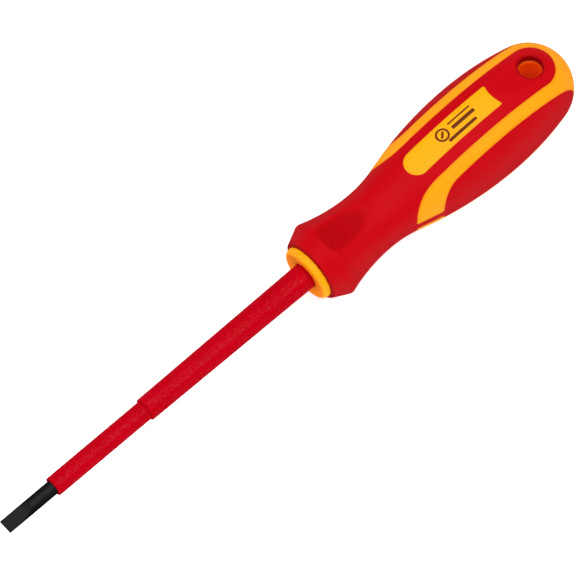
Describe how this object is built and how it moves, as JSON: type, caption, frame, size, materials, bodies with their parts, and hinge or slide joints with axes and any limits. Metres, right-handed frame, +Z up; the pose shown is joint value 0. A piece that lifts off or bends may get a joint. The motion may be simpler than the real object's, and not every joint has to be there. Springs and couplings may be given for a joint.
{
  "type": "insulated screwdriver",
  "caption": "Slotted screwdriver with an insulated blade and a waisted two-colour handle with a finger guard, thumb pads and a hanging hole.",
  "frame": {"origin": "under the middle of the tool's bounding box, on the surface that it lies on", "axes": "+X along the blade towards the butt of the handle, +Z up through the label face, +Y to the side"},
  "size_m": [0.1906, 0.0278, 0.0278],
  "materials": {
    "blade_steel": "matte black oxide",
    "front_sleeve_plastic": "fine grained, red",
    "rear_sleeve_plastic": "fine grained, red",
    "core_plastic": "satin moulded, yellow orange",
    "grip_rubber": "soft touch, red"
  },
  "bodies": {
    "root": {"blade": "blade_steel", "front_insulation_sleeve": "front_sleeve_plastic", "rear_insulation_sleeve": "rear_sleeve_plastic", "handle_core": "core_plastic", "soft_grip": "grip_rubber"}
  },
  "joints": []
}
